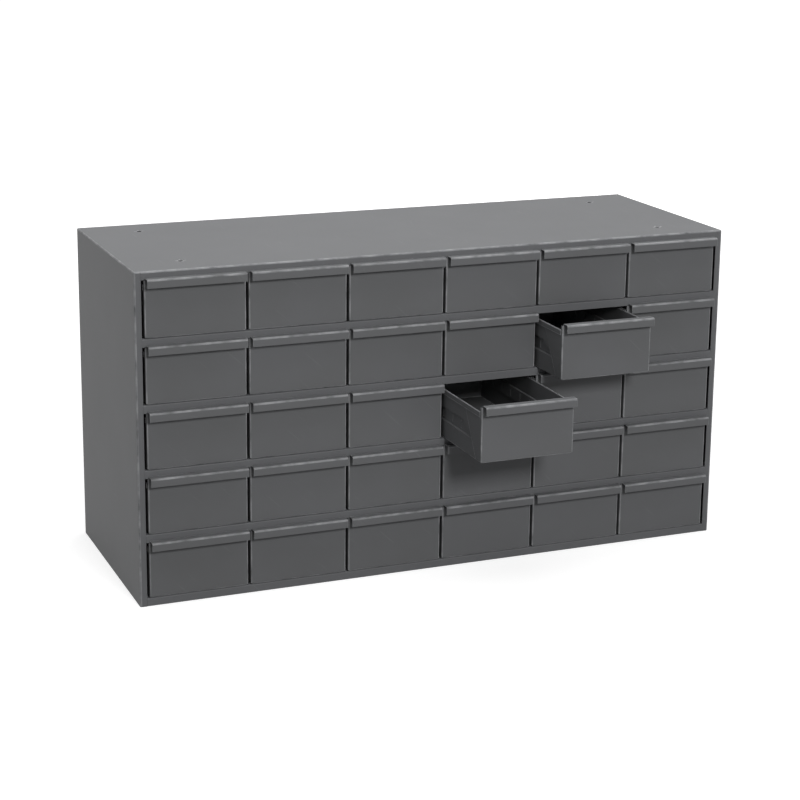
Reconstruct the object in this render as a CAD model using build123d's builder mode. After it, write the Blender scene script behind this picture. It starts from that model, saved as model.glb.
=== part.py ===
"""Steel parts cabinet: thirty folded-sheet bins, six across and five down, in a welded shell.

All sizes are in millimetres. The origin is the centre of the base, +Z is up, the fronts face -Y
and +X runs to the right of someone who faces the cabinet. The bins are shown as in use: all shut
but two, which stand part open.
"""
from build123d import *
import os

os.makedirs("parts", exist_ok=True)

# ---- cabinet shell ---------------------------------------------------------------------------
cabinet_width = 857.25
cabinet_depth = 311.15
cabinet_height = 450.85
cabinet_sheet = 0.8
shell_bend = 2.0  # outside radius of the shell's folds
side_return = 9.3  # width of the side panels' front and rear flanges
weld_flange = 7.0  # hidden flanges that the shell is spot welded through
front_band = 11.1  # height of the top band and of every shelf's front flange
base_band = 11.35  # from the floor to the lowest deck
panel_fit = 0.2  # play left beside welded sheets

# ---- stacking holes in the top ---------------------------------------------------------------
hole_diameter = 7.1
hole_side_inset = 76.2
hole_end_inset = 50.8

# ---- openings --------------------------------------------------------------------------------
columns = 6
rows = 5
column_margin = 11.1  # from the shell's side to the first partition
partition_setback = 12.0  # from the front of the shell to the partitions' front edges
slot_fit = 0.1  # play on each side of a sheet in a half-lap slot

# ---- bins ------------------------------------------------------------------------------------
bin_sheet = 0.6
bin_length = 295.0  # from the front panel's face to the back wall's face
side_height = 69.85
front_height = 79.1
front_gap = 3.75  # between the front panels of two neighbours
running_gap = 0.4  # under the bin's floor
closing_gap = 0.3  # between the front panel and the shelf's flange behind it
pull_projection = 12.0
pull_drop = 11.4
pull_bend = 2.2  # outside radius of the pull's front fold
pull_inset = 1.5  # at each end of the pull
front_return = 4.5  # stiffening return down each side of the front panel
return_headroom = 0.7  # from the return's top to the flange it passes under
tab_top_depth = 55.0  # front panel's side tab, along its top edge
tab_bottom_depth = 16.0
hem_height = 7.5
hem_fit = 0.05  # play of the tab inside the open hem
front_upstand = 12.0  # bin floor's flange behind the front panel
stop_width = 60.0
stop_lap = 4.2  # height by which the back's stop overlaps the flange it meets
stop_cushion = 1.0  # travel left before the stop touches

# ---- stamped channel for dividers, in each side wall -----------------------------------------
channel_depth = 1.2
channel_bottom = 26.5
channel_top = 43.3
channel_front_bottom = 30.0
channel_front_top = 58.0
channel_rear_gap = 12.0
divider_slot = 1.6
divider_first = 69.0
divider_pitch = 30.0
divider_count = 7
divider_end_gap = 3.0

# ---- how far the two open bins stand out -----------------------------------------------------
open_bins = {(2, 5): 75.0, (3, 4): 123.0}

# ---- derived places --------------------------------------------------------------------------
front_plane = -cabinet_depth / 2
back_plane = cabinet_depth / 2
shell_half = cabinet_width / 2
row_pitch = (cabinet_height - base_band) / rows
opening_height = row_pitch - front_band
column_pitch = (cabinet_width - 2 * column_margin) / columns
flange_half = shell_half - side_return - panel_fit
bin_width = column_pitch - front_gap
wall_outer = bin_width / 2 - bin_sheet
wall_inner = wall_outer - bin_sheet
bin_front_plane = front_plane - closing_gap - bin_sheet
shelf_back = back_plane - 2 * cabinet_sheet - panel_fit
deck_end_front = front_plane + shell_bend + cabinet_sheet
partition_front = front_plane + partition_setback


def shelf_level(row):
    """Height of the surface that the bins of a row slide on; row 1 is the top row."""
    return base_band + (rows - row) * row_pitch


def column_centre(column):
    """Middle of a column of bins; column 1 is at the left."""
    return -shell_half + column_margin + (column - 0.5) * column_pitch


partition_places = [-shell_half + column_margin + n * column_pitch for n in range(columns + 1)]


# ---- shell -----------------------------------------------------------------------------------
def side_panel(hand):
    """Side of the shell: one sheet folded into front and rear flanges; hand is -1 at the left."""
    outer = hand * shell_half
    with BuildPart() as panel:
        with BuildSketch(Plane.XY):
            with BuildLine():
                FilletPolyline(
                    (outer - hand * side_return, front_plane),
                    (outer, front_plane),
                    (outer, back_plane),
                    (outer - hand * side_return, back_plane),
                    radius=shell_bend,
                )
                offset(amount=cabinet_sheet, side=Side.LEFT if hand > 0 else Side.RIGHT)
            make_face()
        extrude(amount=cabinet_height - cabinet_sheet)
    return panel


def half_lap_slots(level):
    """Slots that open the rear half of a shelf for the partitions that cross it."""
    with BuildSketch(Plane.XY.offset(level)) as slots:
        for place in partition_places:
            with Locations((place, shelf_back / 2)):
                Rectangle(cabinet_sheet + 2 * slot_fit, shelf_back)
    return slots.sketch


def deck_end(hand, level):
    """Section of a deck's end, carried out to the side panel and turned down to be welded."""
    inner = hand * (shell_half - cabinet_sheet)
    with BuildSketch(Plane.XZ.offset(-deck_end_front)) as section:
        with BuildLine():
            Polyline(
                (hand * (flange_half - weld_flange), level),
                (inner, level),
                (inner, level - weld_flange),
            )
            offset(
                amount=cabinet_sheet,
                side=Side.RIGHT if hand > 0 else Side.LEFT,
                kind=Kind.INTERSECTION,
            )
        make_face()
    return section.sketch


def shelf(row):
    """Shelf under a row: deck, front flange and turned-down ends; all but the last are slotted."""
    level = shelf_level(row)
    with BuildPart() as sheet:
        with BuildSketch(Plane.YZ):
            with BuildLine():
                FilletPolyline(
                    (front_plane, level - front_band),
                    (front_plane, level),
                    (shelf_back, level),
                    radius=shell_bend,
                )
                offset(amount=cabinet_sheet, side=Side.RIGHT)
            make_face()
        extrude(amount=flange_half, both=True)
        for hand in (-1, 1):
            extrude(deck_end(hand, level), amount=-(shelf_back - deck_end_front))
        if row < rows:
            extrude(half_lap_slots(level), amount=-cabinet_sheet, mode=Mode.SUBTRACT)
    return sheet


side_panel_left = side_panel(-1)
side_panel_left.part.label = "side_panel_left"
export_step(side_panel_left.part, "parts/side_panel_left.step")

side_panel_right = side_panel(1)
side_panel_right.part.label = "side_panel_right"
export_step(side_panel_right.part, "parts/side_panel_right.step")

# Top: a cover sheet that lies on the side panels, folded down between their flanges.
with BuildPart() as top_panel:
    with BuildSketch(Plane.YZ):
        with BuildLine():
            FilletPolyline(
                (front_plane, cabinet_height - front_band),
                (front_plane, cabinet_height),
                (back_plane, cabinet_height),
                (back_plane, cabinet_height - front_band),
                radius=shell_bend,
            )
            offset(amount=cabinet_sheet, side=Side.RIGHT)
        make_face()
    extrude(amount=flange_half, both=True)
    with BuildSketch(Plane.XY.offset(cabinet_height)):
        Rectangle(cabinet_width, cabinet_depth - 2 * shell_bend)
    extrude(amount=-cabinet_sheet)
    with Locations(Plane.XY.offset(cabinet_height)):
        with GridLocations(
            cabinet_width - 2 * hole_side_inset, cabinet_depth - 2 * hole_end_inset, 2, 2
        ):
            Hole(hole_diameter / 2, depth=2 * cabinet_sheet)
top_panel.part.label = "top_panel"
export_step(top_panel.part, "parts/top_panel.step")

# Bottom: a flat sheet that the cabinet stands on, folded up at the rear and at both ends.
with BuildPart() as bottom_panel:
    with BuildSketch(Plane.YZ):
        with BuildLine():
            FilletPolyline(
                (front_plane + cabinet_sheet + panel_fit, 0),
                (back_plane, 0),
                (back_plane, base_band),
                radius=shell_bend,
            )
            offset(amount=cabinet_sheet, side=Side.LEFT)
        make_face()
    extrude(amount=flange_half, both=True)
    for hand in (-1, 1):
        inner = hand * (shell_half - cabinet_sheet)
        with BuildSketch(Plane.XZ.offset(-deck_end_front)):
            with BuildLine():
                Polyline(
                    (hand * (flange_half - weld_flange), 0),
                    (inner, 0),
                    (inner, weld_flange / 2),
                )
                offset(
                    amount=cabinet_sheet,
                    side=Side.LEFT if hand > 0 else Side.RIGHT,
                    kind=Kind.INTERSECTION,
                )
            make_face()
        extrude(amount=-(shelf_back - deck_end_front))
bottom_panel.part.label = "bottom_panel"
export_step(bottom_panel.part, "parts/bottom_panel.step")

# Back: a flat sheet welded inside the side panels' rear flanges.
back_bottom = shell_bend + panel_fit
back_top = cabinet_height - shell_bend - panel_fit
with BuildPart() as back_panel:
    with BuildSketch(Plane.XZ.offset(cabinet_sheet - back_plane)):
        with Locations((0, (back_bottom + back_top) / 2)):
            Rectangle(2 * (shell_half - shell_bend - panel_fit), back_top - back_bottom)
    extrude(amount=cabinet_sheet)
back_panel.part.label = "back_panel"
export_step(back_panel.part, "parts/back_panel.step")

for row in range(1, rows + 1):
    shelf_sheet = shelf(row)
    shelf_sheet.part.label = f"shelf_{row}"
    export_step(shelf_sheet.part, f"parts/shelf_{row}.step")

# Partitions: full-height sheets, slotted from the front to mid depth, that cross every shelf.
partition_height = cabinet_height - cabinet_sheet - base_band
for number, place in enumerate(partition_places, start=1):
    with BuildPart() as partition:
        with BuildSketch(Plane.YZ.offset(place)):
            with Locations(
                ((partition_front + shelf_back) / 2, base_band + partition_height / 2)
            ):
                Rectangle(shelf_back - partition_front, partition_height)
            for row in range(1, rows):
                with Locations((partition_front / 2, shelf_level(row) - cabinet_sheet / 2)):
                    Rectangle(
                        -partition_front, cabinet_sheet + 2 * slot_fit, mode=Mode.SUBTRACT
                    )
        extrude(amount=cabinet_sheet / 2, both=True)
    partition.part.label = f"partition_{number}"
    export_step(partition.part, f"parts/partition_{number}.step")

# ---- one bin, with its origin under the middle of the front panel's face ---------------------
tab_top = side_height - bin_sheet - hem_fit
stop_height = opening_height - running_gap + stop_lap
return_top = opening_height - running_gap - return_headroom
hem_start = front_return + closing_gap
hem_proud = wall_inner + 3 * bin_sheet  # outer face of the hem: wall, tab and leg, side by side
channel_middle = (channel_bottom + channel_top) / 2


def channel_outline(hand, wall_face, margin):
    """Outline of the stamped channel on one wall, grown by a margin."""
    rear = bin_length - channel_rear_gap + margin
    with BuildSketch(Plane.YZ.offset(hand * wall_face)) as outline:
        with BuildLine():
            Polyline(
                (channel_front_bottom - margin, channel_bottom - margin),
                (rear, channel_bottom - margin),
                (rear, channel_top + margin),
                (channel_front_top - margin, channel_top + margin),
                close=True,
            )
        make_face()
    return outline.sketch


def bin_pan(slotted):
    """Folded pan: hemmed walls with stamped channels, floor, front upstand, back with its stop.

    The divider slots are cut only where the bin stands open; shut bins are lighter without them.
    """
    with BuildPart() as pan:
        with BuildSketch(Plane.XZ.offset(-bin_sheet)):
            with BuildLine():
                Polyline(
                    (-hem_proud, side_height - hem_height),
                    (-hem_proud, side_height),
                    (-wall_inner, side_height),
                    (-wall_inner, bin_sheet),
                    (wall_inner, bin_sheet),
                    (wall_inner, side_height),
                    (hem_proud, side_height),
                    (hem_proud, side_height - hem_height),
                )
                offset(amount=bin_sheet, side=Side.RIGHT, kind=Kind.INTERSECTION)
            make_face()
        extrude(amount=bin_sheet - bin_length)
        with BuildSketch(Plane.XZ.offset(-bin_length)):
            with Locations((0, side_height / 2)):
                Rectangle(2 * wall_outer, side_height)
            with Locations((0, stop_height / 2)):
                Rectangle(stop_width, stop_height)
        extrude(amount=bin_sheet)
        with BuildSketch(Plane.XZ.offset(-2 * bin_sheet)):
            with Locations((0, front_upstand / 2)):
                Rectangle(2 * wall_outer, front_upstand)
        extrude(amount=bin_sheet)
        with BuildSketch(Plane.XY.offset(side_height)):
            for hand in (-1, 1):
                with Locations((hand * (wall_outer + hem_proud) / 2, hem_start / 2)):
                    Rectangle(hem_proud - wall_outer, hem_start)
        extrude(amount=-hem_height, mode=Mode.SUBTRACT)
        for hand in (-1, 1):
            extrude(channel_outline(hand, wall_inner, bin_sheet), amount=-hand * channel_depth)
            extrude(
                channel_outline(hand, wall_outer, 0), amount=-hand * channel_depth, mode=Mode.SUBTRACT
            )
        if slotted:
            with BuildSketch(Plane.YZ):
                for n in range(divider_count):
                    with Locations((divider_first + n * divider_pitch, channel_middle)):
                        Rectangle(divider_slot, channel_top - channel_bottom - 2 * divider_end_gap)
            extrude(amount=wall_outer, both=True, mode=Mode.SUBTRACT)
    return pan


with BuildPart() as bin_front:
    with BuildSketch(Plane.XY):
        with BuildLine():
            Polyline(
                (-bin_width / 2, front_return),
                (-bin_width / 2, 0),
                (bin_width / 2, 0),
                (bin_width / 2, front_return),
            )
            offset(amount=bin_sheet, side=Side.LEFT, kind=Kind.INTERSECTION)
        make_face()
    extrude(amount=return_top)
    with BuildSketch(Plane.YZ):
        with BuildLine():
            Line((bin_sheet, side_height), (bin_sheet, front_height))
            FilletPolyline(
                (bin_sheet, front_height),
                (-pull_projection, front_height),
                (-pull_projection, front_height - pull_drop),
                radius=pull_bend,
            )
            offset(amount=bin_sheet, side=Side.LEFT, kind=Kind.INTERSECTION)
        make_face()
    extrude(amount=bin_width / 2 - pull_inset, both=True)
    for hand in (-1, 1):
        with BuildSketch(Plane.YZ.offset(hand * wall_outer)):
            with BuildLine():
                Polyline(
                    (front_return - bin_sheet, 0),
                    (tab_bottom_depth, 0),
                    (bin_sheet + tab_top_depth, tab_top),
                    (front_return - bin_sheet, tab_top),
                    close=True,
                )
            make_face()
        extrude(amount=hand * bin_sheet)

# One pan and one front serve every bin; only the slots differ.
shut_pan = bin_pan(slotted=False)
open_pan = bin_pan(slotted=True)

for row in range(1, rows + 1):
    for column in range(1, columns + 1):
        pulled = open_bins.get((row, column), 0)
        place = Location(
            (column_centre(column), bin_front_plane - pulled, shelf_level(row) + running_gap)
        )
        pan = open_pan if pulled else shut_pan
        drawer = Compound([pan.part.moved(place), bin_front.part.moved(place)])
        drawer.label = f"drawer_r{row}_c{column}"
        export_step(drawer, f"parts/{drawer.label}.step")

flange_back = front_plane + cabinet_sheet
stop_face = bin_front_plane + bin_length - bin_sheet
travel = stop_face - flange_back - stop_cushion
print(f"bin {bin_width:.2f} wide, travel {travel:.2f}, opening {opening_height:.2f} high")
print(f"row pitch {row_pitch:.2f}, column pitch {column_pitch:.3f}, front {bin_front_plane:.3f}")
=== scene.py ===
"""Steel parts cabinet of thirty folded-sheet bins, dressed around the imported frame.

The shell's side panels, its top and every bin are rebuilt here as folded sheets: a bent line is
carried over a grid with numpy, the grid gets its sheet thickness, and the cells that a punch takes
out are left away. The shelves, partitions, back and bottom are the frame's own nodes in enamel.
"""

import logging
import math
from dataclasses import dataclass
from enum import Enum

import bpy
import numpy as np
from mathutils import Matrix, Vector


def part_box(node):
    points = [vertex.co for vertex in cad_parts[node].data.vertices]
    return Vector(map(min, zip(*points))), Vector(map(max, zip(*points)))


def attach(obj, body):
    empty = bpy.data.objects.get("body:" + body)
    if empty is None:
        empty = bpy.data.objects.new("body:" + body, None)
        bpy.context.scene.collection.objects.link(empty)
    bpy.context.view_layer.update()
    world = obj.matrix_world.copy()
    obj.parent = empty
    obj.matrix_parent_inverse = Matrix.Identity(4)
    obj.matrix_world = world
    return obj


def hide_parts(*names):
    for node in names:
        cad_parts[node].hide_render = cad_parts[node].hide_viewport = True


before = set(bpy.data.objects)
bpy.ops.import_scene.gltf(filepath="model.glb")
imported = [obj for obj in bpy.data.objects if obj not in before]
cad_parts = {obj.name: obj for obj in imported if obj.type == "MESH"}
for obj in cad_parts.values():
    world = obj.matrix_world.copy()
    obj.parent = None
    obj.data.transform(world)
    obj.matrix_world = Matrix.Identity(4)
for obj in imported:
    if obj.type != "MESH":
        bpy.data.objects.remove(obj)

LOG = logging.getLogger("parts_cabinet")
MM = 0.001
ARC_STEPS = 6  # steps in one fold
HOLD = 0.3  # mm; from a fold to the point that keeps the flat run beside it flat in shading
SHARP_ANGLE = 35.0  # degrees
WELD_DECIMALS = 4  # decimals of a millimetre to which shared points agree
CLOSE = 1e-6  # mm; nearer than this counts as the same place
NUDGE = 1e-3  # mm; keeps a comparison or a radius just off an exact size
NARROW = 0.95  # mm; a face narrower than this is part of a fold or of a cut edge


class Hand(Enum):
    """Which side of the cabinet a piece is for, as the sign of its X."""

    LEFT = -1
    RIGHT = 1


class Slot(Enum):
    """Material slots of the record."""

    CABINET = "cabinet_enamel"
    BIN = "bin_enamel"


# ---- colour and nodes ------------------------------------------------------------------------
def linear(colour: str) -> tuple[float, float, float, float]:
    """Turns an sRGB hex colour to linear RGBA.

    Args:
        colour: the colour as "#rrggbb".

    Returns:
        Red, green, blue and an alpha of 1.
    """
    parts = [int(colour[i : i + 2], 16) / 255 for i in (1, 3, 5)]
    return (*[v / 12.92 if v <= 0.04045 else ((v + 0.055) / 1.055) ** 2.4 for v in parts], 1.0)


def add_node(
    tree: bpy.types.NodeTree,
    kind: str,
    values: dict | None = None,
    links: dict | None = None,
    **settings: object,
) -> bpy.types.Node:
    """Adds a node with its settings, its values and what feeds it.

    Args:
        tree: the material's or world's node tree.
        kind: the node's type name.
        values: input socket to the value it keeps.
        links: input socket to the output socket that feeds it.
        **settings: the node's own properties.

    Returns:
        The new node.
    """
    node = tree.nodes.new(kind)
    for name, value in settings.items():
        setattr(node, name, value)
    for socket, value in (values or {}).items():
        node.inputs[socket].default_value = value
    for socket, source in (links or {}).items():
        tree.links.new(source, node.inputs[socket])
    return node


# ---- sheets on a grid ------------------------------------------------------------------------
def folded_line(corners: list[tuple[float, ...]]) -> np.ndarray:
    """Draws the middle line of a folded sheet.

    Each corner is (across, up) or (across, up, radius). A corner with a radius is an arc that
    touches both of its runs: its centre lies on the corner's bisector, at the radius over the
    sine of half the angle, and its points are the centre plus the radius turned in equal steps.
    A point on each run, a little before and after the arc, keeps the flat faces flat in shading.

    Args:
        corners: the line's corners in millimetres.

    Returns:
        The line's points, one row each.
    """
    out = [np.array(corners[0][:2], float)[None]]
    for before, here, after in zip(corners[:-2], corners[1:-1], corners[2:]):
        p = np.array(here[:2], float)
        if len(here) < 3:
            out.append(p[None])
            continue
        to_before = np.array(before[:2], float) - p
        to_after = np.array(after[:2], float) - p
        a, b = to_before / np.linalg.norm(to_before), to_after / np.linalg.norm(to_after)
        half = math.acos(np.clip(a @ b, -1, 1)) / 2
        reach = here[2] / math.tan(half)
        centre = p + (a + b) / np.linalg.norm(a + b) * here[2] / math.sin(half)
        start, end = p + a * reach - centre, p + b * reach - centre
        sweep = math.pi - 2 * half
        t = np.linspace(0, 1, ARC_STEPS + 1)[:, None]
        arc = (start * np.sin((1 - t) * sweep) + end * np.sin(t * sweep)) / math.sin(sweep)
        lead = [p + a * (reach + HOLD)] if np.linalg.norm(to_before) > reach + 3 * HOLD else []
        trail = [p + b * (reach + HOLD)] if np.linalg.norm(to_after) > reach + 3 * HOLD else []
        out.append(np.vstack([*lead, centre + arc, *trail]))
    out.append(np.array(corners[-1][:2], float)[None])
    return np.vstack(out)


@dataclass
class Surface:
    """A closed mesh as arrays: points in millimetres and quads."""

    points: np.ndarray
    quads: np.ndarray

    def moved(self, shift: np.ndarray) -> "Surface":
        """Returns the surface shifted by a vector."""
        return Surface(self.points + shift, self.quads)


def thick_sheet(grid: np.ndarray, kept: np.ndarray, thickness: float) -> Surface:
    """Gives a grid its sheet thickness.

    The normal is the cross product of the grid's two tangents, each the difference of a point's
    neighbours. Both faces lie half the thickness from the grid along it, and a rim quad closes
    each cell side that has a kept cell on one side only.

    Args:
        grid: middle points, rows by columns by 3, in millimetres.
        kept: which cells stay, one fewer row and column than the grid.
        thickness: the sheet's thickness in millimetres.

    Returns:
        The sheet as a closed surface.
    """
    along_rows = np.gradient(grid, axis=0)
    along_columns = np.gradient(grid, axis=1)
    normal = np.cross(along_rows, along_columns)
    normal /= np.maximum(np.linalg.norm(normal, axis=2, keepdims=True), 1e-12)
    rows, columns = grid.shape[:2]
    points = np.vstack(
        [
            (grid + normal * thickness / 2).reshape(-1, 3),
            (grid - normal * thickness / 2).reshape(-1, 3),
        ]
    )
    index = np.arange(rows * columns).reshape(rows, columns)
    under = rows * columns
    r, c = np.nonzero(kept)
    quad = np.stack(
        [index[r, c], index[r + 1, c], index[r + 1, c + 1], index[r, c + 1]], axis=1
    )
    padded = np.pad(kept, 1)
    open_sides = [
        (~padded[:-2, 1:-1], 0, 3),  # before the cell's first row
        (~padded[2:, 1:-1], 2, 1),
        (~padded[1:-1, :-2], 1, 0),
        (~padded[1:-1, 2:], 3, 2),
    ]
    rims = []
    for is_open, first, second in open_sides:
        edge = quad[is_open[r, c]]
        a, b = edge[:, first], edge[:, second]
        rims.append(np.stack([a, b, b + under, a + under], axis=1))
    quads = np.vstack([quad, quad[:, ::-1] + under, *rims])
    return Surface(points, quads)


def joined(surfaces: list[Surface]) -> Surface:
    """Joins surfaces and welds the points that they share.

    Args:
        surfaces: the surfaces to join.

    Returns:
        One surface whose points are unique.
    """
    offsets = np.cumsum([0] + [len(s.points) for s in surfaces[:-1]])
    points = np.vstack([s.points for s in surfaces])
    quads = np.vstack([s.quads + o for s, o in zip(surfaces, offsets)])
    _, first, place = np.unique(
        np.round(points, WELD_DECIMALS), axis=0, return_index=True, return_inverse=True
    )
    quads = place.ravel()[quads]
    used, quads = np.unique(quads, return_inverse=True)
    return Surface(points[first][used], quads.reshape(-1, 4))


def make_piece(
    name: str, surface: Surface, body: str, finish: bpy.types.Material, nodes: list[str]
) -> bpy.types.Object:
    """Turns a surface into a piece of the object.

    An edge is sharp where its two faces meet at more than SHARP_ANGLE. The face attribute "fold"
    is 1 where the shorter mean side of a face is under NARROW, which is so on folds and rims.

    Args:
        name: the piece's name.
        surface: its shape in the frame, in millimetres.
        body: the body that carries it.
        finish: its material.
        nodes: the CAD nodes that it stands for.

    Returns:
        The new object.
    """
    mesh = bpy.data.meshes.new(name)
    mesh.from_pydata(surface.points * MM, [], surface.quads)
    mesh.update(calc_edges=True)
    mesh.polygons.foreach_set("use_smooth", np.ones(len(mesh.polygons), bool))
    normals = np.zeros(len(mesh.polygons) * 3)
    mesh.polygons.foreach_get("normal", normals)
    edge_of_loop = np.zeros(len(mesh.loops), int)
    mesh.loops.foreach_get("edge_index", edge_of_loop)
    face_normals = np.repeat(normals.reshape(-1, 3), 4, axis=0)
    order = np.argsort(edge_of_loop, kind="stable")
    first = np.searchsorted(edge_of_loop[order], np.arange(len(mesh.edges)))
    count = np.bincount(edge_of_loop, minlength=len(mesh.edges))
    second = order[np.minimum(first + 1, len(order) - 1)]
    turn = np.einsum("ij,ij->i", face_normals[order[first]], face_normals[second])
    sharp = (turn < math.cos(math.radians(SHARP_ANGLE))) | (count != 2)
    mesh.attributes.new("sharp_edge", "BOOLEAN", "EDGE").data.foreach_set("value", sharp)
    # the enamel paints its highlight on the faces that fold marks
    corners = surface.points[surface.quads]
    side = np.linalg.norm(corners - np.roll(corners, -1, axis=1), axis=2)
    narrow = (np.minimum(side[:, 0] + side[:, 2], side[:, 1] + side[:, 3]) / 2 < NARROW) * 1.0
    mesh.attributes.new("fold", "FLOAT", "FACE").data.foreach_set("value", narrow)
    mesh.materials.append(finish)
    piece = bpy.data.objects.new(name, mesh)
    bpy.context.scene.collection.objects.link(piece)
    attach(piece, body)
    if nodes:
        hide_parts(*nodes)
    LOG.info("%s: %d points, %d faces, on %s", name, len(mesh.vertices), len(mesh.polygons), body)
    return piece


def seen_directly(tree: bpy.types.NodeTree) -> bpy.types.NodeSocket:
    """Gives 1 for what the camera sees, also through glass or mirrored in the object.

    Args:
        tree: the node tree of the sweep or of the surround.

    Returns:
        The socket with the sum of the three kinds of ray.
    """
    ray = add_node(tree, "ShaderNodeLightPath").outputs
    first = add_node(
        tree,
        "ShaderNodeMath",
        links={0: ray["Is Camera Ray"], 1: ray["Is Glossy Ray"]},
        operation="ADD",
    )
    both = add_node(
        tree,
        "ShaderNodeMath",
        links={0: first.outputs[0], 1: ray["Is Transmission Ray"]},
        operation="ADD",
        use_clamp=True,
    )
    return both.outputs[0]


# ---- finishes --------------------------------------------------------------------------------
@dataclass(frozen=True)
class BakedEnamel:
    """Grey machine enamel, sprayed on phosphated steel sheet and baked.

    The spray levels to a satin skin, so the eye gets a soft, broad highlight on each fold. Under
    it the paint has a fine orange peel, and over a hand's width its tone drifts a little. On
    folds and cut edges a painted highlight lays a pale colour, with lower roughness. A few
    hairline scratches slant over the faces where bins have passed each other.
    """

    name: str
    colour: str
    drift_colour: str
    # painted highlight on folds and cut edges: its pale colour, which the scratches share, and how
    # much of it shows
    highlight_and_scratch_colour: str = "#a6a7a9"
    highlight_share: float = 0.75
    drift_mm: float = 130.0
    peel_mm: float = 2.6  # real peel is near 1 mm; drawn coarser so that it shows
    peel_height_mm: float = 0.006
    gloss: float = 0.5
    sheen: float = 0.18  # well under a gloss paint's 0.5, for the matting agent in the enamel
    highlight_noise_mm: float = 22.0
    scratch_mm: tuple[float, float] = (60.0, 2.2)  # length and width; hairlines drawn broader
    scratch_turn: float = 0.75
    scratch_share: float = 0.07
    grain_roughness: float = 0.55  # of every noise
    drift_band: tuple[float, float] = (0.3, 0.7)  # noise values that span the two tones
    scratch_band: tuple[float, float] = (0.71, 0.78)  # only the noise's peaks are scratches
    highlight_noise_band: tuple[float, float] = (0.3, 0.62)
    highlight_shine: float = -0.3  # times the highlight noise, added to the gloss where the painted highlight is full

    def material(self) -> bpy.types.Material:
        """Builds the enamel's nodes.

        Returns:
            The material.
        """
        made = bpy.data.materials.new(self.name)
        made.use_nodes = True
        tree = made.node_tree
        tree.nodes.clear()
        place = add_node(tree, "ShaderNodeTexCoord").outputs["Object"]

        def noise(
            size_mm: float, detail: float, where: bpy.types.NodeSocket = place
        ) -> bpy.types.NodeSocket:
            """Gives a noise whose grains are as big as said."""
            values = {
                "Scale": 1 / (size_mm * MM),
                "Detail": detail,
                "Roughness": self.grain_roughness,
            }
            return add_node(tree, "ShaderNodeTexNoise", values, {"Vector": where}).outputs["Fac"]

        def ramp(
            source: bpy.types.NodeSocket, band: tuple[float, float], top: float
        ) -> bpy.types.NodeSocket:
            """Maps a band of a value to 0...top.

            Args:
                source: the value.
                band: where the ramp starts and ends.
                top: what the band's end gives.

            Returns:
                The socket with the result.
            """
            values = {"From Min": band[0], "From Max": band[1], "To Max": top}
            node = add_node(tree, "ShaderNodeMapRange", values, {"Value": source})
            return node.outputs["Result"]

        def blend(
            share: bpy.types.NodeSocket, under: bpy.types.NodeSocket, over: str
        ) -> bpy.types.NodeSocket:
            """Lays a colour over another by a share.

            Args:
                share: how much of the upper colour shows.
                under: the lower colour.
                over: the upper colour as "#rrggbb".

            Returns:
                The socket with the mixed colour.
            """
            node = add_node(
                tree,
                "ShaderNodeMix",
                {"B": linear(over)},
                {"Factor": share, "A": under},
                data_type="RGBA",
            )
            return node.outputs["Result"]

        drift = add_node(
            tree,
            "ShaderNodeValToRGB",
            links={"Fac": ramp(noise(self.drift_mm, 3.0), self.drift_band, 1.0)},
        )
        drift.color_ramp.elements[0].color = linear(self.drift_colour)
        drift.color_ramp.elements[1].color = linear(self.colour)
        stretch = self.scratch_mm[0] / self.scratch_mm[1]
        slanted = add_node(
            tree,
            "ShaderNodeMapping",
            {"Rotation": (0.0, self.scratch_turn, 0.0), "Scale": (stretch, stretch, 1.0)},
            {"Vector": place},
            vector_type="TEXTURE",
        )
        hairlines = noise(self.scratch_mm[1], 1.0, slanted.outputs["Vector"])
        scratched = ramp(hairlines, self.scratch_band, self.scratch_share)
        # painted highlight: a pale colour laid over the fold faces, broken up by a noise, with lower
        # roughness there
        fold = add_node(tree, "ShaderNodeAttribute", attribute_name="fold").outputs["Fac"]
        highlight_noise = noise(self.highlight_noise_mm, 5.0)
        painted_highlight = add_node(
            tree,
            "ShaderNodeMath",
            links={0: fold, 1: ramp(highlight_noise, self.highlight_noise_band, self.highlight_share)},
            operation="MULTIPLY",
        ).outputs[0]
        tone = blend(scratched, drift.outputs["Color"], self.highlight_and_scratch_colour)
        tone = blend(painted_highlight, tone, self.highlight_and_scratch_colour)
        rough = add_node(
            tree,
            "ShaderNodeMath",
            {2: self.gloss},
            {0: highlight_noise, 1: ramp(painted_highlight, (0.0, 1.0), self.highlight_shine)},
            operation="MULTIPLY_ADD",
        )
        bump = add_node(
            tree,
            "ShaderNodeBump",
            {"Strength": 1.0, "Distance": self.peel_height_mm * MM},
            {"Height": noise(self.peel_mm, 2.0)},
        )
        skin = add_node(
            tree,
            "ShaderNodeBsdfPrincipled",
            {"IOR": 1.5, "Specular IOR Level": self.sheen, "Metallic": 0.0},
            {
                "Base Color": tone,
                "Roughness": rough.outputs[0],
                "Normal": bump.outputs["Normal"],
            },
        )
        add_node(tree, "ShaderNodeOutputMaterial", links={"Surface": skin.outputs["BSDF"]})
        return made


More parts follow.
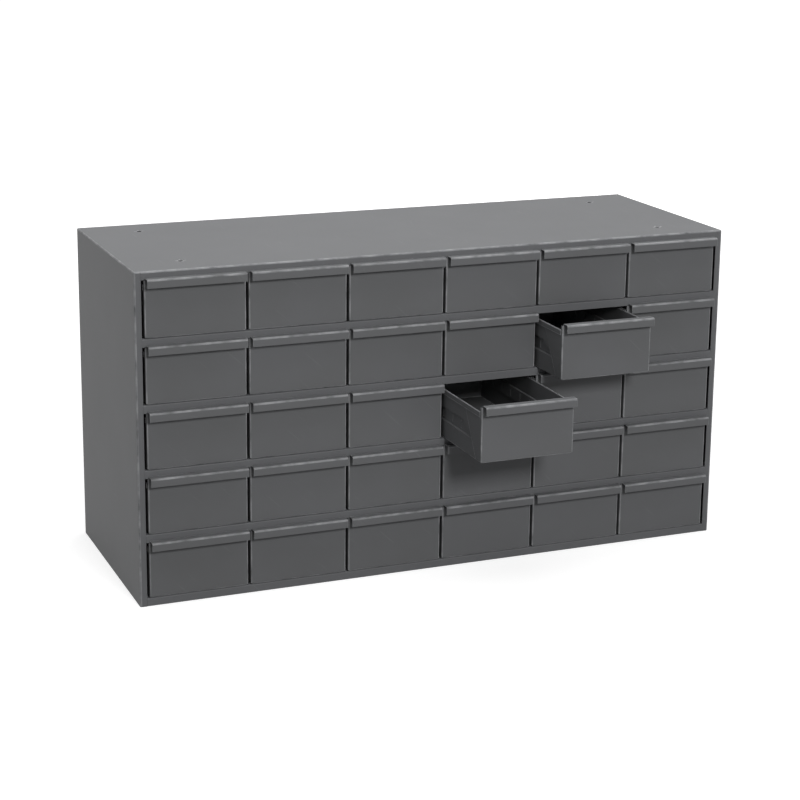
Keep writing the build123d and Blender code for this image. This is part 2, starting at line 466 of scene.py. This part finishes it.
@dataclass(frozen=True)
class SweepPaper:
    """White paper sweep of a product studio.

    The camera and mirrored rays see it near white, with the object's soft shadow; beyond a
    few metres its own glow takes over, as a lit backdrop does. To the object it gives back only
    as much light as a mid grey floor, so the lower fronts stay dark as in the photograph.
    """

    name: str = "sweep_paper"
    seen: str = "#c4c4c4"
    bounce: str = "#8a8a8a"
    glow_near: float = 0.72
    glow_from: float = 0.8  # metres from the middle
    glow_full: float = 2.6  # metres from the middle

    def material(self) -> bpy.types.Material:
        """Builds the paper's nodes.

        Returns:
            The material.
        """
        made = bpy.data.materials.new(self.name)
        made.use_nodes = True
        tree = made.node_tree
        tree.nodes.clear()
        place = add_node(tree, "ShaderNodeTexCoord").outputs["Object"]
        away = add_node(tree, "ShaderNodeVectorMath", links={0: place}, operation="LENGTH")
        glow = add_node(
            tree,
            "ShaderNodeMapRange",
            {"From Min": self.glow_from, "From Max": self.glow_full, "To Min": self.glow_near},
            {"Value": away.outputs["Value"]},
        )
        shine = add_node(tree, "ShaderNodeEmission", links={"Strength": glow.outputs["Result"]})
        paper = add_node(tree, "ShaderNodeBsdfDiffuse", {"Color": linear(self.seen)})
        seen = add_node(
            tree, "ShaderNodeAddShader", links={0: shine.outputs[0], 1: paper.outputs[0]}
        )
        bounce = add_node(tree, "ShaderNodeBsdfDiffuse", {"Color": linear(self.bounce)})
        mix = add_node(
            tree,
            "ShaderNodeMixShader",
            links={0: seen_directly(tree), 1: bounce.outputs[0], 2: seen.outputs[0]},
        )
        add_node(tree, "ShaderNodeOutputMaterial", links={"Surface": mix.outputs[0]})
        return made


# ---- shell -----------------------------------------------------------------------------------
@dataclass
class CabinetShell:
    """Welded shell: two folded side panels under a folded top, with the frame's inner sheets."""

    sheet: float = 0.8
    fold: float = 1.6  # radius of the middle line in the upright folds
    rim: float = 1.4  # the same along the rounded top edges
    side_return: float = 9.3
    front_band: float = 11.1
    seam: float = 0.2
    hole: float = 3.55
    hole_side_inset: float = 76.2
    hole_end_inset: float = 50.8
    hole_patch: float = 7.0
    hole_dip: float = 0.35
    hole_spokes: int = 32
    hole_rings: int = 4
    body: str = "cabinet"

    def __post_init__(self) -> None:
        """Reads the shell's outer sizes from the frame."""
        low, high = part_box("side_panel_left")
        _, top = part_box("top_panel")
        self.half_width = top.x / MM
        self.half_depth = high.y / MM
        self.height = top.z / MM
        self.floor = low.z / MM

    def side_panel(self, hand: Hand) -> Surface:
        """Side of the shell with its front and rear returns and a rounded top rim.

        A U-shaped line round three sides is carried up the height. Its last rows turn inwards:
        each point moves along its inward normal by rim minus rim times the cosine of an angle
        that goes to a right angle, while it rises by rim times the sine.

        Args:
            hand: the side.

        Returns:
            The panel's surface.
        """
        side, half = hand.value, self.sheet / 2
        x, y = self.half_width - half, self.half_depth - half
        inner = self.half_width - self.side_return
        line = folded_line([(inner, -y), (x, -y, self.fold), (x, y, self.fold), (inner, y)])
        tangent = np.gradient(line, axis=0)
        inward = np.stack([-tangent[:, 1], tangent[:, 0]], axis=1)
        inward /= np.linalg.norm(inward, axis=1, keepdims=True)
        top = self.height - half - self.rim
        angle = np.linspace(0, math.pi / 2, ARC_STEPS + 1)
        heights = np.concatenate([[self.floor, top - HOLD], top + self.rim * np.sin(angle)])
        step = np.concatenate([[0, 0], self.rim * (1 - np.cos(angle))])
        plan = line[None] + step[:, None, None] * inward[None]
        grid = np.dstack([plan, np.broadcast_to(heights[:, None], plan.shape[:2])])
        grid[..., 0] *= side
        kept = np.ones((grid.shape[0] - 1, grid.shape[1] - 1), bool)
        return thick_sheet(grid, kept, self.sheet)

    def _hole_lines(self, places: tuple[float, float]) -> np.ndarray:
        """Grid lines through the patches round two rows of holes."""
        square = self.hole_patch * np.tan(
            np.linspace(-1, 1, self.hole_spokes // 4 + 1) * math.pi / 4
        )
        return np.concatenate([places[0] + square, places[1] + square])

    def _hole_patch(self, x: float, y: float, level: float) -> Surface:
        """Patch from a square of the top's grid in to a punched hole.

        Spokes run from the square's edge to the hole's circle at the same angle, and
        the surface dips by hole_dip times the cube of the way in, as a punch draws the sheet. The
        first and last spoke are the same place, so their points are averaged to weld.

        Args:
            x: the hole's middle across.
            y: the hole's middle in depth.
            level: the top's middle level.

        Returns:
            The patch's surface, with the hole's wall.
        """
        spokes, rings = self.hole_spokes + 1, self.hole_rings + 1
        angle = np.linspace(0, 2 * math.pi, spokes)
        circle = np.stack([np.cos(angle), np.sin(angle)], axis=1)
        square = circle / np.abs(circle).max(axis=1, keepdims=True) * self.hole_patch
        inward = np.linspace(0, 1, rings)[:, None, None]
        plan = (1 - inward) * square[None] + inward * circle[None] * self.hole
        dip = np.broadcast_to(-self.hole_dip * inward[..., 0] ** 3, plan.shape[:2])
        grid = np.dstack([plan[..., 0] + x, plan[..., 1] + y, level + dip])
        kept = np.ones((rings - 1, spokes - 1), bool)
        patch = thick_sheet(grid, kept, self.sheet)
        layers = patch.points.reshape(2, rings, spokes, 3)
        layers[:, :, 0] = layers[:, :, -1] = (layers[:, :, 0] + layers[:, :, -1]) / 2
        flat = grid[0] + np.array([0, 0, self.sheet / 2])
        patch.points[:spokes] = flat - np.array([0, 0, self.sheet])
        patch.points[rings * spokes : (rings + 1) * spokes] = flat
        closing = np.isin(patch.quads % (rings * spokes), np.arange(spokes)).all(axis=1)
        ends = np.isin(patch.quads % spokes, [0, spokes - 1]).all(axis=1)
        return Surface(patch.points, patch.quads[~closing & ~ends])

    def top_panel(self) -> Surface:
        """Top of the shell, folded down at the front and rear, with four stacking holes.

        The folded line in depth is carried across the width. Its flanges reach only between the
        side panels' returns, and the cells round each hole give way to a round patch.

        Returns:
            The panel's surface.
        """
        half = self.sheet / 2
        y, level = self.half_depth - half, self.height - half
        hole_y = (-self.half_depth + self.hole_end_inset, self.half_depth - self.hole_end_inset)
        hole_x = (-self.half_width + self.hole_side_inset, self.half_width - self.hole_side_inset)
        lines_y = [(v, level) for v in self._hole_lines(hole_y)]
        flange = level - self.front_band + half
        line = folded_line(
            [(-y, flange), (-y, level, self.fold), *lines_y, (y, level, self.fold), (y, flange)]
        )
        edge = self.half_width - half - self.rim
        inner = self.half_width - self.side_return - self.seam
        across = np.concatenate([[-edge, -inner], self._hole_lines(hole_x), [inner, edge]])
        grid = np.stack(
            [
                np.broadcast_to(across[None], (len(line), len(across))),
                np.broadcast_to(line[:, :1], (len(line), len(across))),
                np.broadcast_to(line[:, 1:], (len(line), len(across))),
            ],
            axis=2,
        )
        middle = (grid[:-1, :-1] + grid[1:, 1:]) / 2
        beside = np.abs(middle[..., 0]) > inner
        kept = ~(beside & (np.abs(middle[..., 1]) > y - self.rim))
        patches = []
        for x in hole_x:
            for depth in hole_y:
                kept &= ~(
                    (np.abs(middle[..., 0] - x) < self.hole_patch)
                    & (np.abs(middle[..., 1] - depth) < self.hole_patch)
                    & (middle[..., 2] > level - CLOSE)
                )
                patches.append(self._hole_patch(x, depth, level))
        sheet = thick_sheet(grid, kept, self.sheet)
        span = np.ptp(sheet.points[sheet.quads], axis=1)
        upright = (span[:, 2] > half) & (span[:, :2].max(axis=1) < 2 * self.hole_patch)
        centre = sheet.points[sheet.quads].mean(axis=1)
        round_hole = np.zeros(len(centre), bool)
        for x in hole_x:
            for depth in hole_y:
                reach = np.abs(centre[:, :2] - np.array([x, depth])).max(axis=1)
                round_hole |= reach < self.hole_patch + NUDGE
        sheet.quads = sheet.quads[~(upright & round_hole)]
        return joined([sheet, *patches])

    def build(self, enamel: bpy.types.Material) -> None:
        """Makes the outer panels and dresses the inner sheets.

        Args:
            enamel: the shell's finish.
        """
        for hand in Hand:
            word = hand.name.lower()
            make_piece(
                f"shell_side_{word}",
                joined([self.side_panel(hand)]),
                self.body,
                enamel,
                [f"side_panel_{word}"],
            )
        make_piece(
            "shell_top", self.top_panel(), self.body, enamel, ["top_panel"]
        )
        for name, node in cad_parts.items():
            if not name.startswith("drawer_"):
                for place in range(len(node.data.materials)):
                    node.data.materials[place] = enamel
                if not node.data.materials:
                    node.data.materials.append(enamel)


# ---- bins ------------------------------------------------------------------------------------
@dataclass
class PartsBin:
    """One bin: a hemmed pan with a stamped divider channel, and a front with its folded pull.

    Sizes are in millimetres, from under the middle of the front panel's face: X to the right, Y
    to the rear and Z up.
    """

    sheet: float = 0.6
    width: float = 135.425
    length: float = 295.0
    side_height: float = 69.85
    front_height: float = 79.1
    corner: float = 1.1  # radius of the middle line in the upright and floor folds
    pull_projection: float = 12.0
    pull_drop: float = 11.4
    pull_rear_fold: float = 1.3
    pull_front_fold: float = 1.9
    front_return: float = 4.5
    return_top: float = 75.7
    tab_top: float = 68.8
    tab_top_depth: float = 55.6
    tab_bottom_depth: float = 16.0
    hem_height: float = 7.5
    hem_start: float = 4.8
    upstand: float = 12.0
    stop_width: float = 60.0
    stop_height: float = 80.6
    front_clearance: float = 1.6  # from the bin's underside up to the panel's lower edge
    highlight_strip: float = 0.9  # strip along a cut edge, narrow enough to take the painted highlight
    channel_depth: float = 1.8  # deeper than the solid's, so that the step shows
    channel_bottom: float = 26.5
    channel_top: float = 43.3
    channel_front_bottom: float = 30.0
    channel_front_top: float = 58.0
    channel_rear_gap: float = 12.0
    channel_flank: float = 1.4
    divider_slot: float = 1.6
    divider_first: float = 69.0
    divider_pitch: float = 30.0
    divider_count: int = 7
    divider_end_gap: float = 3.0

    def pan(self) -> Surface:
        """Pan: hems, walls, floor, front upstand and back as one folded sheet.

        A line over the left hem, down the wall, across the floor and up to the right hem is
        carried to the rear. At both ends the floor's part of the rows turns up instead, into the
        front upstand and the back. Between the channel's grid lines the walls step inwards by
        the channel's depth, and the channel's front lines lean back in proportion to height.

        Returns:
            The pan's surface.
        """
        half = self.sheet / 2
        wall = self.width / 2 - self.sheet - half
        leg = wall + 2 * self.sheet
        lip = self.side_height - half
        fold = self.sheet - NUDGE
        levels = [
            self.channel_top + self.channel_flank,
            self.channel_top,
            self.channel_top - self.divider_end_gap,
            self.channel_bottom + self.divider_end_gap,
            self.channel_bottom,
            self.channel_bottom - self.channel_flank,
        ]
        hem_edge = self.side_height - self.hem_height
        # a narrow strip at the hem's edge takes the painted highlight
        left = [(-leg, hem_edge), (-leg, hem_edge + self.highlight_strip)]
        left += [(-leg, lip, fold), (-wall, lip, fold)]
        left += [(-wall, z) for z in levels] + [(-wall, half, self.corner)]
        left += [(-self.stop_width / 2, half)]
        right = [(-c[0], *c[1:]) for c in reversed(left)]
        line = folded_line(left + right)
        on_floor = np.abs(line[:, 1] - half) < CLOSE
        flat = wall - self.corner

        slots = self.divider_first + self.divider_pitch * np.arange(self.divider_count)
        slot_lines = (slots[:, None] + np.array([-0.5, 0.5]) * self.divider_slot).ravel()
        rear = self.length - half
        start = self.sheet + half
        channel_rear = self.length - self.channel_rear_gap
        front_lines = [self.channel_front_bottom - self.channel_flank, self.channel_front_bottom]
        run = [self.hem_start, *front_lines, *slot_lines]
        run += [channel_rear, channel_rear + self.channel_flank]
        path = folded_line(
            [(start, self.upstand), (start, half, self.corner)]
            + [(v, half) for v in run]
            + [
                (rear, half, self.corner),
                (rear, self.side_height / 2),
                (rear, self.side_height),
                (rear, self.stop_height),
            ]
        )
        depth, rise = path[:, 0], path[:, 1] - half
        rows, columns = len(path), len(line)
        lies_flat = rise < CLOSE
        x = np.broadcast_to(line[None, :, 0], (rows, columns)).copy()
        y = np.broadcast_to(depth[:, None], (rows, columns)).copy()
        z = np.broadcast_to(line[None, :, 1], (rows, columns)).copy()
        z[:, on_floor] += np.maximum(rise, 0)[:, None]
        behind = depth > self.length / 2
        turned = (rise > CLOSE) & behind
        back_part = np.outer(turned & (rise > self.corner / 2), on_floor)
        spread = (wall - half) / flat
        edge_columns = np.abs(np.abs(line[:, 0]) - flat) < CLOSE
        x[back_part & edge_columns[None]] *= spread
        for_walls = ~on_floor
        turn_start = rear - self.corner
        wall_end = self.length - self.sheet
        progress = rise[turned] / self.corner
        y[np.ix_(turned, for_walls)] = (turn_start + (wall_end - turn_start) * progress)[:, None]

        inner_row = np.flatnonzero(
            (depth >= self.channel_front_bottom - CLOSE) & (depth <= channel_rear + CLOSE)
        )
        deep = (line[:, 1] <= self.channel_top + CLOSE) & (line[:, 1] >= self.channel_bottom - CLOSE)
        deep &= np.abs(np.abs(line[:, 0]) - wall) < CLOSE
        lean = np.clip(
            (line[:, 1] - self.channel_bottom) / (self.channel_top - self.channel_bottom), 0, 1
        )
        lean *= np.abs(line[:, 0]) > flat
        leaning = np.isin(np.round(depth, 4), np.round(front_lines, 4)) & lies_flat
        shift = (self.channel_front_top - self.channel_front_bottom) * lean
        y[leaning] += shift[None]
        x[np.ix_(inner_row, deep)] -= self.channel_depth * np.sign(line[deep, 0])[None]

        cell_depth = (depth[:-1] + depth[1:]) / 2
        cell_line = (line[:-1] + line[1:]) / 2
        floor_cell = on_floor[:-1] & on_floor[1:]
        bend_cell = (np.abs(cell_line[:, 0]) > flat) & (cell_line[:, 1] < self.corner + half)
        bend_cell &= ~floor_cell
        row_flat = lies_flat[:-1] & lies_flat[1:]
        row_front = ~row_flat & (cell_depth < self.length / 2)
        row_back = ~row_flat & ~row_front
        kept = np.ones((rows - 1, columns - 1), bool)
        kept[np.ix_(row_front, ~floor_cell)] = False
        kept[np.ix_(row_back, bend_cell)] = False
        rise_cell = (rise[:-1] + rise[1:]) / 2
        wall_done = row_back & (rise_cell > self.corner)
        kept[np.ix_(wall_done, ~floor_cell)] = False
        over_stop = row_back & (rise_cell > self.side_height - half)
        kept[np.ix_(over_stop, np.abs(cell_line[:, 0]) > self.stop_width / 2)] = False
        hem_cell = np.abs(cell_line[:, 0]) > wall + NUDGE
        kept[np.ix_(cell_depth < self.hem_start, hem_cell)] = False
        in_slot = (np.abs(cell_depth[:, None] - slots[None]) < self.divider_slot / 2).any(axis=1)
        tall = (cell_line[:, 1] < self.channel_top - self.divider_end_gap) & (
            cell_line[:, 1] > self.channel_bottom + self.divider_end_gap
        )
        tall &= np.abs(cell_line[:, 0]) > flat
        kept[np.ix_(in_slot & row_flat, tall)] = False
        return thick_sheet(np.dstack([x, y, z]), kept, self.sheet)

    def front(self) -> Surface:
        """Front: panel, upright folds with their side tabs, and the folded pull.

        A line round the panel and both tabs is carried up the height; each row's outer ends
        follow the tabs' slanted edge. Above the returns only the panel's flat part goes on, and
        its path turns forward into the pull and down into the lip.

        Returns:
            The front's surface.
        """
        half = self.sheet / 2
        x = self.width / 2 - half
        # narrow strips at the tabs' edges take the painted highlight
        line = folded_line(
            [
                (-x, self.tab_bottom_depth),
                (-x, self.tab_bottom_depth - self.highlight_strip),
                (-x, self.front_return),
                (-x, half, self.corner),
                (x, half, self.corner),
                (x, self.front_return),
                (x, self.tab_bottom_depth - self.highlight_strip),
                (x, self.tab_bottom_depth),
            ]
        )
        lip_bottom = self.front_height - self.pull_drop
        level = self.front_height - half
        nose = self.pull_projection - half
        path = folded_line(
            [
                (half, self.front_clearance),
                (half, self.tab_top / 2),
                (half, self.tab_top),
                (half, self.return_top),
                (half, level, self.pull_rear_fold),
                (-nose, level, self.pull_front_fold),
                (-nose, lip_bottom),
            ]
        )
        rows, columns = len(path), len(line)
        grid = np.zeros((rows, columns, 3))
        grid[..., 0] = line[None, :, 0]
        grid[..., 1] = line[None, :, 1] + (path[:, :1] - half)
        grid[..., 2] = path[:, 1:]
        slant = self.tab_bottom_depth + (self.tab_top_depth - self.tab_bottom_depth) * np.clip(
            path[:, 1] / self.tab_top, 0, 1
        )
        grid[:, 0, 1] = grid[:, -1, 1] = slant
        grid[:, 1, 1] = grid[:, -2, 1] = slant - self.highlight_strip
        flat = x - self.corner
        cell_x = np.abs(line[:-1, 0] + line[1:, 0]) / 2
        cell_y = (line[:-1, 1] + line[1:, 1]) / 2
        order = np.arange(rows - 1)
        top_of_tab = int(np.argmin(np.abs(path[:, 1] - self.tab_top)))
        top_of_return = int(np.argmin(np.abs(path[:, 1] - self.return_top)))
        kept = np.ones((rows - 1, columns - 1), bool)
        kept[np.ix_(order >= top_of_tab, cell_y > self.front_return)] = False
        kept[np.ix_(order >= top_of_return, cell_x > flat)] = False
        return thick_sheet(grid, kept, self.sheet)

    def build(self, row: int, column: int, enamel: bpy.types.Material) -> None:
        """Makes the pan and front of one bin where its node stands.

        Args:
            row: the bin's row, 1 at the top.
            column: the bin's column, 1 at the left.
            enamel: the bin's finish.
        """
        node = f"drawer_r{row}_c{column}"
        low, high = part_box(node)
        shift = np.array([(low.x + high.x) / 2 / MM, low.y / MM + self.pull_projection, low.z / MM])
        for part, surface in (("pan", self.pan()), ("front", self.front())):
            make_piece(
                f"bin_{part}_r{row}_c{column}",
                joined([surface.moved(shift)]),
                f"{node}_body",
                enamel,
                [node],
            )


# ---- studio ----------------------------------------------------------------------------------
@dataclass(frozen=True)
class Softbox:
    """A square area lamp that looks at a point."""

    name: str
    place: tuple[float, float, float]
    aim: tuple[float, float, float]
    side: float
    power: float

    def hang(self) -> None:
        """Adds the lamp to the scene."""
        lamp = bpy.data.lights.new(self.name, "AREA")
        lamp.shape = "SQUARE"
        lamp.size = self.side
        lamp.energy = self.power
        holder = bpy.data.objects.new(self.name, lamp)
        look = Vector(self.aim) - Vector(self.place)
        turn = look.to_track_quat("-Z", "Y").to_matrix().to_4x4()
        holder.matrix_world = Matrix.Translation(self.place) @ turn
        holder.visible_camera = False
        bpy.context.scene.collection.objects.link(holder)


@dataclass
class Studio:
    """Paper sweep, lamps, surrounding light and the camera."""

    azimuth: float = -22.27
    elevation: float = 13.64
    roll: float = 0.62
    distance: float = 2.82706
    target: tuple[float, float, float] = (-0.0007, 0.0, 0.31859)
    focal_pixels: float = 1980.31
    picture: int = 800
    sensor: float = 36.0
    shift_up: float = -0.1
    surround: float = 0.16
    sweep_side: float = 40.0
    lamps: tuple[Softbox, ...] = (
        Softbox("overhead_softbox", (0.0, 0.1, 3.0), (0.0, 0.0, 0.3), 3.0, 62.0),
        Softbox("front_softbox", (-0.1, -2.8, 1.6), (0.0, 0.0, 0.2), 0.55, 41.0),
        # below the level of the top, so that it puts no glare on it
        Softbox("rear_softbox", (1.9, 3.4, 0.2), (0.0, 0.0, 0.2), 0.5, 52.0),
    )

    def build(self) -> None:
        """Sets up the whole studio."""
        self._sweep()
        self._surround()
        for lamp in self.lamps:
            lamp.hang()
        self._camera()
        bpy.context.scene.view_settings.view_transform = "Standard"

    def _sweep(self) -> None:
        """Lays the paper under the object."""
        half = self.sweep_side / 2
        corners = np.array([(-half, -half, 0), (half, -half, 0), (half, half, 0), (-half, half, 0)])
        mesh = bpy.data.meshes.new("paper_sweep")
        mesh.from_pydata(corners, [], [(0, 1, 2, 3)])
        mesh.materials.append(SweepPaper().material())
        paper = bpy.data.objects.new("paper_sweep", mesh)
        bpy.context.scene.collection.objects.link(paper)

    def _surround(self) -> None:
        """Gives even light from all round, and plain white where the camera sees past the paper."""
        world = bpy.data.worlds.new("studio_surround")
        bpy.context.scene.world = world
        world.use_nodes = True
        tree = world.node_tree
        tree.nodes.clear()
        light = add_node(tree, "ShaderNodeBackground", {"Strength": self.surround})
        light.inputs["Color"].default_value = (1.0, 1.0, 1.0, 1.0)
        white = add_node(tree, "ShaderNodeBackground", {"Strength": 1.0})
        white.inputs["Color"].default_value = (1.0, 1.0, 1.0, 1.0)
        mix = add_node(
            tree,
            "ShaderNodeMixShader",
            links={0: seen_directly(tree), 1: light.outputs[0], 2: white.outputs[0]},
        )
        add_node(tree, "ShaderNodeOutputWorld", links={"Surface": mix.outputs[0]})

    def _camera(self) -> None:
        """Stands the camera where the photograph was taken from."""
        a, e, r = (math.radians(v) for v in (self.azimuth, self.elevation, self.roll))
        back = Vector((math.sin(a) * math.cos(e), -math.cos(a) * math.cos(e), math.sin(e)))
        right = (-back).cross(Vector((0, 0, 1))).normalized()
        up = right.cross(-back)
        turned_right = math.cos(r) * right + math.sin(r) * up
        turned_up = -math.sin(r) * right + math.cos(r) * up
        place = Vector(self.target) + back * self.distance
        view = Matrix((turned_right, turned_up, back)).transposed().to_4x4()
        data = bpy.data.cameras.new("photo_camera")
        data.sensor_width = self.sensor
        data.lens = self.focal_pixels / self.picture * self.sensor
        data.shift_y = self.shift_up
        data.clip_end = 100.0
        camera = bpy.data.objects.new("photo_camera", data)
        camera.matrix_world = Matrix.Translation(place) @ view
        bpy.context.scene.collection.objects.link(camera)
        bpy.context.scene.camera = camera


def main() -> None:
    """Builds the studio, the shell and the bins."""
    logging.basicConfig(level=logging.INFO, format="%(message)s")
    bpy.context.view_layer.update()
    Studio().build()
    shell_enamel = BakedEnamel("grey_baked_enamel_shell", "#6d6e70", "#696a6c")
    bin_enamel = BakedEnamel("grey_baked_enamel_bins", "#6b6c6e", "#676869")
    CabinetShell().build(shell_enamel.material())
    bins = PartsBin()
    finish = bin_enamel.material()
    names = [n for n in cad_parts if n.startswith("drawer_")]
    for name in sorted(names):
        row, column = (int(part[1:]) for part in name.split("_")[1:])
        bins.build(row, column, finish)


if __name__ == "__main__":
    main()
